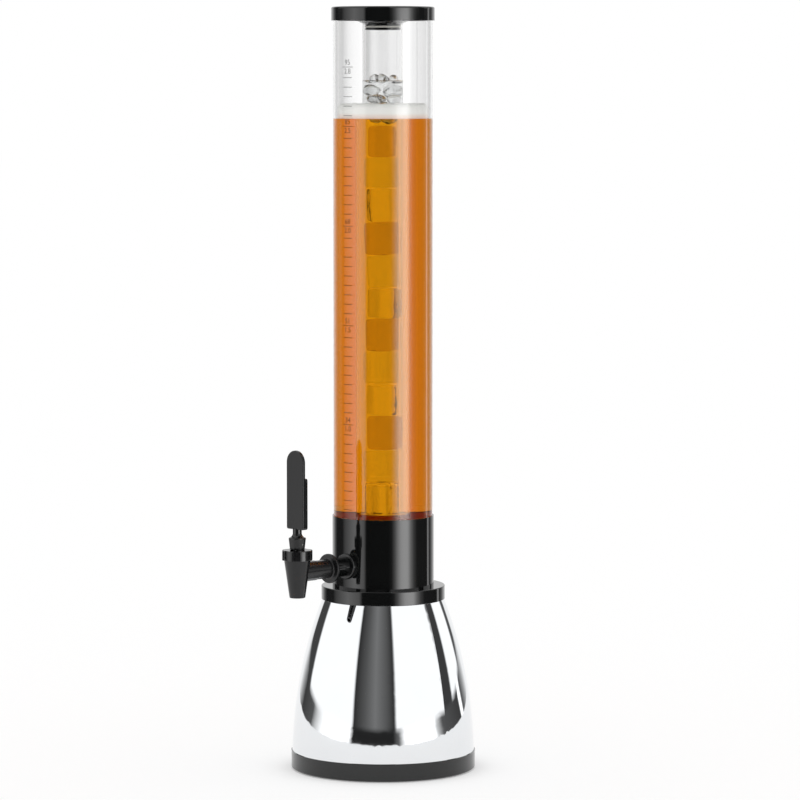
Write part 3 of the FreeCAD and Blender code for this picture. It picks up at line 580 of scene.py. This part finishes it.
@dataclass
class IceColumn:
    """The ice cubes, the broken ice on them and the cold water in the ice tube.

    Attributes:
        levels: The levels of what is in the tubes.
        cube: The width and height of a cube.
        taper: The width of a cube's foot as a share of its top's.
        rounding: How far melting has rounded a cube's edges.
        uneven: How uneven a cube's faces are.
        widths: The least and most width of a cube in the stack, as shares of the full one.
        steps: The least and most height of a cube's step in the stack, as shares of the usual one.
        fill: How much of its step a cube fills.
        lean: The most that a cube leans to either side, in radians.
        count: The number of cubes in the stack.
        top: The height of the stack.
        lumps: For each layer of broken ice, its height, the number of lumps and their usual width.
        lump_widths: The least and most width of a lump, as shares of its layer's usual one.
        lump_reach: How far a lump's widest point is from its middle, as a share of its width.
        lump_height: The height of a lump as a share of its width.
        chipped: How far a lump's points stray, as a share of its width.
        off_wall: How far the ice stays off the ice tube's wall.
        meniscus: How wide and how high the water's edge creeps up the wall.
        seed: What the small differences start from.
    """

    levels: Levels
    cube: tuple[float, float] = (0.0242, 0.0320)
    taper: float = 0.9
    rounding: float = 0.0028
    uneven: float = 0.0006
    widths: tuple[float, float] = (0.92, 0.98)
    steps: tuple[float, float] = (0.92, 1.08)
    fill: float = 0.985
    lean: float = 0.04
    count: int = 12
    top: float = 0.6507
    lumps: tuple[tuple[float, int, float], ...] = ((0.6575, 2, 0.014), (0.668, 3, 0.0145), (0.6765, 3, 0.013),
                                                   (0.6865, 2, 0.017), (0.6975, 3, 0.0125))
    lump_widths: tuple[float, float] = (0.85, 1.1)
    lump_reach: float = 0.62
    lump_height: float = 0.8
    chipped: float = 0.24
    off_wall: float = 0.0006
    meniscus: tuple[float, float] = (0.0012, 0.0008)
    seed: int = 11

    def water(self) -> None:
        """Builds the water as one closed column with a meniscus."""
        radius = self.levels.ice_bore + self.levels.overlap
        low, high = self.levels.ice_floor - self.levels.overlap, self.levels.water
        width, creep = self.meniscus
        obj = spun([(0.0, low), (radius, low), (radius, high + creep), (radius - width, high), (0.0, high)])
        smooth(obj)
        dress(obj, "ice_water", Body.ICE_TUBE, WATER)

    def one_cube(self) -> bpy.types.Object:
        """Models one ice cube, a little narrower at its foot and rounded by melting.

        Returns:
            The cube, round the origin.
        """
        width, height = self.cube
        deselect()
        bpy.ops.mesh.primitive_cube_add(size=1.0)
        obj = bpy.context.object
        obj.scale = (width, width, height)
        apply_place(obj)
        for vertex in obj.data.vertices:
            vertex.select = vertex.co.z < 0
        bpy.ops.object.mode_set(mode="EDIT")
        bpy.ops.transform.resize(value=(self.taper, self.taper, 1.0))
        bpy.ops.mesh.select_all(action="SELECT")
        bpy.ops.mesh.subdivide(number_cuts=3)
        bpy.ops.transform.vertex_random(offset=self.uneven, seed=self.seed)
        bpy.ops.object.mode_set(mode="OBJECT")
        apply_modifier(obj, "BEVEL", width=self.rounding, segments=2, limit_method="ANGLE",
                       angle_limit=math.radians(50))
        apply_modifier(obj, "SUBSURF", levels=2, render_levels=2)
        return obj

    def placed(self, pattern: bpy.types.Object, size: tuple[float, float, float],
               turn: tuple[float, float, float], place: tuple[float, float, float]) -> bpy.types.Object:
        """Copies the cube with its own mesh, at a size, turn and place.

        Args:
            pattern: The cube that is copied.
            size: Its scale along X, Y and Z.
            turn: Its turn in radians.
            place: Where its middle goes.

        Returns:
            The copy.
        """
        copy = pattern.copy()
        copy.data = pattern.data.copy()
        bpy.context.scene.collection.objects.link(copy)
        copy.scale, copy.rotation_euler, copy.location = size, turn, place
        apply_place(copy)
        return copy

    def lump(self, seed: int, width: float, place: tuple[float, float, float]) -> bpy.types.Object:
        """Models one lump of broken ice, with uneven flats that melting has softened.

        Args:
            seed: What its shape starts from.
            width: Its width.
            place: Where its middle goes.

        Returns:
            The lump.
        """
        deselect()
        bpy.ops.mesh.primitive_ico_sphere_add(subdivisions=2, radius=width / 2, location=place)
        obj = bpy.context.object
        bpy.ops.object.mode_set(mode="EDIT")
        bpy.ops.mesh.select_all(action="SELECT")
        bpy.ops.transform.vertex_random(offset=width * self.chipped, seed=seed)
        bpy.ops.object.mode_set(mode="OBJECT")
        obj.scale = (1.0, 1.0, self.lump_height)
        apply_place(obj)
        apply_modifier(obj, "SUBSURF", levels=1, render_levels=1)
        return obj

    def broken(self) -> None:
        """Heaps lumps of broken ice on the cubes, layer by layer, the last of them floating."""
        chance = random.Random(self.seed)
        made = []
        for height, number, width in self.lumps:
            first = chance.uniform(0, math.tau)
            for step in range(number):
                size = width * chance.uniform(*self.lump_widths)
                off = self.levels.ice_bore - size * self.lump_reach - self.off_wall
                turn = first + math.tau * step / number
                up = height + chance.uniform(-1, 1) * MM
                made.append(self.lump(self.seed + len(made), size,
                                      (off * math.cos(turn), off * math.sin(turn), up)))
        for obj in made:
            self.keep_in_bore(obj)
        self.one_piece(made, "broken_ice_on_top", WET_ICE, 16.0)

    def keep_in_bore(self, obj: bpy.types.Object) -> None:
        """Draws the points of a lump that would reach into the ice tube's wall back off it.

        Args:
            obj: The lump.
        """
        most = self.levels.ice_bore - self.off_wall / 2
        for vertex in obj.data.vertices:
            reach = math.hypot(vertex.co.x, vertex.co.y)
            if reach > most:
                vertex.co.x *= most / reach
                vertex.co.y *= most / reach

    @staticmethod
    def one_piece(pieces: list[bpy.types.Object], name: str, finish: Clear, angle: float = 35.0) -> None:
        """Joins pieces of ice into one object and dresses it.

        Args:
            pieces: The pieces.
            name: The name of the whole.
            finish: Its finish.
            angle: The sharpest angle in degrees that is shaded smooth.
        """
        whole = joined(pieces)
        smooth(whole, angle)
        dress(whole, name, Body.ICE_TUBE, finish)

    def cubes(self) -> None:
        """Stacks copies of the cube, each turned, leaning and a little taller or shorter than the next."""
        pattern = self.one_cube()
        chance = random.Random(self.seed)
        width, height = self.cube
        shares = [chance.uniform(*self.steps) for _ in range(self.count)]
        foot, stack = self.levels.ice_floor, []
        for share in shares:
            step = (self.top - self.levels.ice_floor) * share / sum(shares)
            size = chance.uniform(*self.widths)
            off = max(self.levels.ice_bore - width * size / math.sqrt(2) - self.off_wall, 0.0)
            turn = chance.uniform(0, math.tau)
            tilt = [chance.uniform(-self.lean, self.lean) for _ in range(2)]
            stack.append(self.placed(
                pattern, (size, size, step / height * self.fill), (*tilt, chance.uniform(0, math.pi / 2)),
                (off * math.cos(turn), off * math.sin(turn), foot + step / 2)))
            foot += step
        bpy.data.objects.remove(pattern)
        self.one_piece(stack[0::3], "melting_ice_cubes", MELTED_ICE)
        self.one_piece(stack[1::3], "clear_ice_cubes", CLEAR_ICE)
        # Every third cube takes the darker grey tint, which is painted shade.
        self.one_piece(stack[2::3], "ice_cubes_tinted_as_shade", SHADE_TINTED_ICE)


@dataclass
class Scale:
    """The volume scale printed on the tube above the tap: a mark every 50 ml and a number every half litre.

    Attributes:
        levels: The levels of what is in the tubes.
        first: The height of the one-litre mark.
        half_litre: The height between half-litre marks.
        top_step: The height from the last half-litre mark to the top mark.
        pitch: The height between the short marks.
        gap: The height between a numbered mark and the short mark under or over it.
        below: The number of short marks under the one-litre mark.
        mark: The length and thickness of a mark.
        long_mark: The length of a numbered mark.
        digits: The height of a digit.
        aside: How far the scale is to the right of the tap's middle plane.
        stand_off: How far in front of the tube the marks are made, before they are laid on it.
        film: The thickness of the ink, and the gap under it.
    """

    levels: Levels
    first: float = 0.3525
    half_litre: float = 0.0993
    top_step: float = 0.0588
    pitch: float = 0.00942
    gap: float = 0.0103
    below: int = 9
    mark: tuple[float, float] = (0.0117, 0.0006)
    long_mark: float = 0.0142
    digits: float = 0.0055
    aside: float = 0.001
    stand_off: float = 0.002
    film: float = 0.00004

    def heights(self) -> list[tuple[float, tuple[str, str] | None]]:
        """Works out where the marks are: the short ones under the one-litre mark, then all from it upwards.

        Returns:
            Every mark's height with the numbers over and under it, or None on a short mark.
        """
        made = [(self.first - self.gap - self.pitch * number, None) for number in range(self.below)]
        here = self.first
        for step, words in self.labels():
            shorts = round((step - 2 * self.gap) / self.pitch)
            gap = (step - self.pitch * shorts) / 2
            made += [(here + gap + self.pitch * number, None) for number in range(shorts + 1) if step]
            here += step
            made.append((here, words))
        return made

    def place(self, height: float) -> tuple[float, float, float]:
        """Returns the place in front of the tube at a height."""
        return self.aside, -self.levels.tube_radius - self.stand_off, height

    def flat(self, height: float, length: float) -> bpy.types.Object:
        """Makes one mark, flat in front of the tube.

        Args:
            height: Its height.
            length: Its length.

        Returns:
            The mark.
        """
        deselect()
        bpy.ops.mesh.primitive_plane_add(size=1.0, location=self.place(height), rotation=(math.pi / 2, 0, 0))
        obj = bpy.context.object
        obj.scale = (length, self.mark[1], 1.0)
        apply_place(obj)
        bpy.ops.object.mode_set(mode="EDIT")
        bpy.ops.mesh.select_all(action="SELECT")
        bpy.ops.mesh.subdivide(number_cuts=5)
        bpy.ops.object.mode_set(mode="OBJECT")
        return obj

    def word(self, height: float, text: str) -> bpy.types.Object:
        """Sets a number flat in front of the tube, as a mesh.

        Args:
            height: The height of its middle.
            text: The number.

        Returns:
            The number's mesh.
        """
        deselect()
        bpy.ops.object.text_add(location=self.place(height), rotation=(math.pi / 2, 0, 0))
        obj = bpy.context.object
        obj.data.body = text
        # The font's size is that of a line of text, and its digits fill about three quarters of it.
        obj.data.size = self.digits * 1.35
        obj.data.align_x = "CENTER"
        obj.data.align_y = "CENTER"
        bpy.ops.object.convert(target="MESH")
        obj = bpy.context.object
        apply_place(obj)
        return obj

    def labels(self) -> list[tuple[float, tuple[str, str]]]:
        """Returns, from the one-litre mark up, the height from the last numbered mark and the two numbers."""
        return [(0.0, ("34", "1.0")), (self.half_litre, ("51", "1.5")), (self.half_litre, ("68", "2.0")),
                (self.half_litre, ("85", "2.5")), (self.top_step, ("95", "2.8"))]

    def build(self) -> None:
        """Joins marks and numbers and lays them on the tube as one thin film of ink."""
        parts = []
        for height, words in self.heights():
            parts.append(self.flat(height, self.long_mark if words else self.mark[0]))
            for text, side in zip(words or (), (1, -1)):
                parts.append(self.word(height + side * self.digits * 0.8, text))
        obj = joined(parts)
        apply_modifier(obj, "SHRINKWRAP", target=frame["nodes"]["main_tube"], wrap_method="PROJECT",
                       use_project_y=True, use_positive_direction=True, use_negative_direction=False,
                       offset=self.film)
        apply_modifier(obj, "SOLIDIFY", thickness=self.film, offset=1.0)
        dress(obj, "volume_scale", Body.TOWER, INK)


@dataclass
class Studio:
    """The camera, the white surroundings and the floor.

    Attributes:
        turn: The angle from the tap's direction to the camera's, in degrees.
        focal: The focal length in pixels of the 800-pixel frame.
        pixel: The size of a pixel at the tower's axis.
        aim_height: The height on the axis that the frame's middle looks at.
        aside: How far the frame's middle is to the right of the axis.
        rise: The height of the camera.
        frame_pixels: The width of the frame.
        plain: The level of the light on the object.
        behind_side: How bright the surroundings are to the sides, seen through glass.
        near_share: How much of the near panels shows by reflections inside glass.
        table_edge: How far from the axis the white table ends in reflections.
        board: How much light the floor's board gives back.
        bounces: How often light may be bent or thrown back, enough for all the walls of both tubes.
    """

    turn: float = 45.9
    focal: float = 3978.0
    pixel: float = 0.00100913
    aim_height: float = 0.3743
    aside: float = 0.0171
    rise: float = 0.713
    frame_pixels: float = 800.0
    plain: float = 0.9
    behind_side: float = 0.6
    near_share: float = 0.2
    table_edge: float = 1.0
    board: float = 0.8
    bounces: int = 48

    def camera(self) -> None:
        """Places the camera where the photograph was taken from."""
        angle = math.radians(self.turn)
        toward = Vector((math.sin(angle), -math.cos(angle), 0.0))
        right = Vector((math.cos(angle), math.sin(angle), 0.0))
        reach = self.focal * self.pixel
        climb = self.rise - self.aim_height
        aim = right * self.aside + Vector((0, 0, self.aim_height))
        place = aim + toward * math.sqrt(reach ** 2 - climb ** 2) + Vector((0, 0, climb))
        data = bpy.data.cameras.new("camera")
        data.sensor_width = 36.0
        data.lens = self.focal / self.frame_pixels * data.sensor_width
        data.clip_end = 100.0
        obj = bpy.data.objects.new("camera", data)
        bpy.context.scene.collection.objects.link(obj)
        obj.location = place
        obj.rotation_euler = (aim - place).to_track_quat("-Z", "Y").to_euler()
        bpy.context.scene.camera = obj

    @staticmethod
    def low_panels() -> list[tuple[float, float]]:
        """Returns the panels at the tower's height: angle to the right of the camera, and brightness."""
        return [(-180, 1.0), (-150, 1.0), (-138, 0.4), (-128, 0.05), (-104, 0.1), (-95, 0.7), (-85, 1.2),
                (-76, 1.7), (-67, 2.2), (-59, 2.0), (-44, 1.5), (-38, 0.02), (13, 0.02), (20, 0.15),
                (27, 1.2), (34, 3.3), (41, 5.1), (49, 5.6), (57, 5.4), (65, 2.3), (73, 0.7), (82, 0.1),
                (118, 0.05), (120, 1.6), (124, 1.6), (127, 0.05), (138, 0.4), (150, 1.0), (180, 1.0)]

    @staticmethod
    def high_panels() -> list[tuple[float, float]]:
        """Returns the panels above the tower's height, which the sloping bell shows."""
        return [(-180, 1.0), (-146, 1.0), (-143, 0.06), (-120, 0.06), (-117, 1.2), (-41, 1.2), (-38, 0.03),
                (-24, 0.1), (-10, 0.2), (6, 0.1), (15, 0.03), (18, 1.2), (86, 1.2), (89, 0.05), (104, 0.05),
                (107, 1.2), (132, 1.2), (135, 0.1), (143, 0.1), (146, 1.0), (180, 1.0)]

    def panel_light(self, tree: bpy.types.NodeTree, direction: bpy.types.NodeSocket,
                    panels: list[tuple[float, float]]) -> bpy.types.NodeSocket:
        """Adds the brightness of the panels in a direction.

        Args:
            tree: The node tree.
            direction: The direction, or the place seen from the tower's axis.
            panels: The panels' angles and brightnesses.

        Returns:
            The brightness as a colour output.
        """
        along, _ = self.bearing(tree, direction)
        most = max(level for _, level in panels)
        ring = ramp(tree, along, [((angle + 180) / 360, level / most) for angle, level in panels])
        scaled = add_node(tree, "ShaderNodeMix", {0: 1.0, 6: ring, 7: (most, most, most, 1.0)},
                          data_type="RGBA", blend_type="MULTIPLY")
        return scaled.outputs[2]

    def room(self) -> list[tuple[float, float]]:
        """Lays out the pale room that shows through glass and beer, a little dimmer beside the back.

        Returns:
            Angles and brightnesses.
        """
        side = self.behind_side
        left = [(-180, 1.0), (-175, 1.0), (-171, 0.72), (-166, 0.72), (-162, 0.82), (-157, 0.8), (-128, side),
                (-96, side), (-88, 1.0)]
        right = [(88, 1.0), (96, side), (128, side), (157, 0.8), (167, 0.85), (174, 1.0), (180, 1.0)]
        return left + right

    def in_walls(self) -> list[tuple[float, float]]:
        """Lays out what shows by reflections inside the clear walls: the room, and the near panels dimmed.

        Returns:
            Angles and brightnesses.
        """
        near = [(angle, level * self.near_share) for angle, level in self.low_panels() if abs(angle) < 100]
        side = self.behind_side
        left = [(-180, 1.0), (-166, 1.0), (-154, 0.4 + 0.6 * side), (-120, side), (-114, 0.1)]
        return left + near + [(-angle, level) for angle, level in reversed(left)]

    def through_light(self, tree: bpy.types.NodeTree,
                      direction: bpy.types.NodeSocket) -> bpy.types.NodeSocket:
        """Adds what a ray that leaves glass sees: the room, or what shows in the walls if it was reflected.

        Args:
            tree: The node tree.
            direction: The direction, or the place seen from the tower's axis.

        Returns:
            The brightness as a colour output.
        """
        path = add_node(tree, "ShaderNodeLightPath")
        reflected = add_node(tree, "ShaderNodeMath", {0: path.outputs["Glossy Depth"], 1: 0.5},
                             operation="GREATER_THAN")
        shown = add_node(tree, "ShaderNodeMix", {0: reflected.outputs[0],
                                                 6: self.panel_light(tree, direction, self.room()),
                                                 7: self.panel_light(tree, direction, self.in_walls())},
                         data_type="RGBA")
        return shown.outputs[2]

    def bearing(self, tree: bpy.types.NodeTree,
                direction: bpy.types.NodeSocket) -> tuple[bpy.types.NodeSocket, bpy.types.NodeSocket]:
        """Adds a direction's angle to the camera's side, from 0 to 1 once round, and its height.

        Args:
            tree: The node tree.
            direction: The direction.

        Returns:
            The outputs for the angle and the height.
        """
        turned = add_node(tree, "ShaderNodeMapping", {"Vector": direction,
                                                      "Rotation": (0, 0, math.radians(90 - self.turn))})
        parts = add_node(tree, "ShaderNodeSeparateXYZ", {0: turned.outputs[0]})
        angle = add_node(tree, "ShaderNodeMath", {0: parts.outputs[1], 1: parts.outputs[0]},
                         operation="ARCTAN2")
        along = add_node(tree, "ShaderNodeMapRange", {0: angle.outputs[0], 1: -math.pi, 2: math.pi,
                                                      3: 0.0, 4: 1.0})
        return along.outputs[0], parts.outputs[2]

    @staticmethod
    def straight_from_view(tree: bpy.types.NodeTree, ray: str) -> bpy.types.NodeSocket:
        """Adds a test for a kind of ray that no matt surface has scattered yet.

        Args:
            tree: The node tree.
            ray: The name of the light path's output for that kind.

        Returns:
            An output that is 1 for such a ray and 0 for others.
        """
        path = add_node(tree, "ShaderNodeLightPath")
        unscattered = add_node(tree, "ShaderNodeMath", {0: path.outputs["Diffuse Depth"], 1: 0.5},
                               operation="LESS_THAN")
        test = add_node(tree, "ShaderNodeMath", {0: path.outputs[ray], 1: unscattered.outputs[0]},
                        operation="MULTIPLY")
        return test.outputs[0]

    def world(self) -> None:
        """Makes plain white surroundings, with the studio's panels in reflections alone."""
        world = bpy.data.worlds.new("studio")
        bpy.context.scene.world = world
        world.cycles.sampling_method = "NONE"
        world.use_nodes = True
        tree = world.node_tree
        tree.nodes.clear()
        place = add_node(tree, "ShaderNodeTexCoord").outputs["Generated"]
        _, height = self.bearing(tree, place)
        # The low panels end one to two degrees over the horizon, and the lamp overhead starts at 55 degrees.
        above = ramp(tree, height, [(0.0, 0.0), (0.015, 0.0), (0.04, 1.0), (1.0, 1.0)])
        walls = add_node(tree, "ShaderNodeMix", {0: above,
                                                 6: self.panel_light(tree, place, self.low_panels()),
                                                 7: self.panel_light(tree, place, self.high_panels())},
                         data_type="RGBA")
        overhead = ramp(tree, height, [(0.0, 0.0), (0.82, 0.0), (0.92, 1.0)])
        glossy = add_node(tree, "ShaderNodeMix", {0: overhead, 6: walls.outputs[2], 7: WHITE},
                          data_type="RGBA")
        plain = (self.plain, self.plain, self.plain, 1.0)
        shone = add_node(tree, "ShaderNodeMix", {0: self.straight_from_view(tree, "Is Glossy Ray"), 6: plain,
                                                 7: glossy.outputs[2]}, data_type="RGBA")
        through = add_node(tree, "ShaderNodeMix", {0: self.straight_from_view(tree, "Is Transmission Ray"),
                                                   6: shone.outputs[2],
                                                   7: self.through_light(tree, place)}, data_type="RGBA")
        path = add_node(tree, "ShaderNodeLightPath")
        seen = add_node(tree, "ShaderNodeMix", {0: path.outputs["Is Camera Ray"], 6: through.outputs[2],
                                                7: WHITE}, data_type="RGBA")
        light = add_node(tree, "ShaderNodeBackground", {"Color": seen.outputs[2], "Strength": 1.0})
        add_node(tree, "ShaderNodeOutputWorld", {"Surface": light.outputs[0]})

    def floor(self) -> None:
        """Lays a plain pale floor that keeps the tower's soft shadow and ends like a table in reflections."""
        deselect()
        bpy.ops.mesh.primitive_plane_add(size=40.0, location=(0, 0, 0))
        obj = bpy.context.object
        obj.name = "floor"
        made = bpy.data.materials.new("floor_matt_white_board")
        tree = new_tree(made)
        path = add_node(tree, "ShaderNodeLightPath")
        seen = add_node(tree, "ShaderNodeMath", {0: path.outputs["Is Camera Ray"],
                                                 1: path.outputs["Is Glossy Ray"]}, operation="MAXIMUM")
        lit = add_node(tree, "ShaderNodeMath", {0: seen.outputs[0], 1: path.outputs["Is Transmission Ray"]},
                       operation="MAXIMUM")
        lift = add_node(tree, "ShaderNodeMath", {0: lit.outputs[0], 1: 1.0 - self.board * self.plain},
                        operation="MULTIPLY")
        matt = add_node(tree, "ShaderNodeBsdfPrincipled", {
            "Base Color": (self.board,) * 3 + (1.0,), "Roughness": 1.0, "Specular IOR Level": 0.0,
            "Emission Color": WHITE, "Emission Strength": lift.outputs[0]})
        place = add_node(tree, "ShaderNodeTexCoord").outputs["Object"]
        far = add_node(tree, "ShaderNodeVectorMath", {0: place}, operation="LENGTH")
        beyond = add_node(tree, "ShaderNodeMapRange", {0: far.outputs["Value"], 1: self.table_edge,
                                                       2: self.table_edge * 1.08, 3: 0.0, 4: 1.0})
        gloss = self.straight_from_view(tree, "Is Glossy Ray")
        through = self.straight_from_view(tree, "Is Transmission Ray")
        either = add_node(tree, "ShaderNodeMath", {0: gloss, 1: through}, operation="MAXIMUM")
        swapped = add_node(tree, "ShaderNodeMath", {0: beyond.outputs[0], 1: either.outputs[0]},
                           operation="MULTIPLY")
        light = add_node(tree, "ShaderNodeMix", {0: through,
                                                 6: self.panel_light(tree, place, self.low_panels()),
                                                 7: self.through_light(tree, place)}, data_type="RGBA")
        walls = add_node(tree, "ShaderNodeEmission", {"Color": light.outputs[2]})
        shown = add_node(tree, "ShaderNodeMixShader", {0: swapped.outputs[0], 1: matt.outputs[0],
                                                       2: walls.outputs[0]})
        add_node(tree, "ShaderNodeOutputMaterial", {"Surface": shown.outputs[0]})
        obj.data.materials.append(made)

    def build(self) -> None:
        """Sets up the whole studio."""
        scene = bpy.context.scene
        scene.view_settings.view_transform = "Standard"
        scene.cycles.max_bounces = self.bounces
        scene.cycles.transmission_bounces = self.bounces
        scene.cycles.transparent_max_bounces = 16
        scene.cycles.blur_glossy = 0.0
        self.camera()
        self.world()
        self.floor()
        LOG.info("the studio is ready")


@dataclass
class Hardware:
    """The finishes of the parts that come from the source."""

    finishes: dict[str, Moulding | Clear] = field(default_factory=lambda: {
        "eva_foam": EVA_FOAM, "black_abs": POLISHED_ABS, "chromed_abs": CHROME, "clear_acrylic": ACRYLIC,
        "black_polypropylene": TAP_PLASTIC, "silicone": SILICONE, "stainless_steel": STAINLESS})

    def dress(self) -> None:
        """Gives every part the finish of its material slot."""
        slots = {part["node"]: part["material_slot"] for part in frame["record"]["subparts"]}
        for name, obj in frame["nodes"].items():
            made = self.finishes[slots[name]].material()
            for place in obj.material_slots:
                place.material = made
            LOG.info("%s: %s", name, made.name)


def main() -> None:
    """Builds the studio, dresses the parts, and adds what is in and on the tubes."""
    logging.basicConfig(level=logging.INFO, format="%(name)s %(message)s")
    Studio().build()
    Hardware().dress()
    levels = Levels()
    drink = Drink(levels)
    drink.beer()
    drink.foam()
    ice = IceColumn(levels)
    ice.water()
    ice.cubes()
    ice.broken()
    Sealant(levels).build()
    Scale(levels).build()


if __name__ == "__main__":
    main()
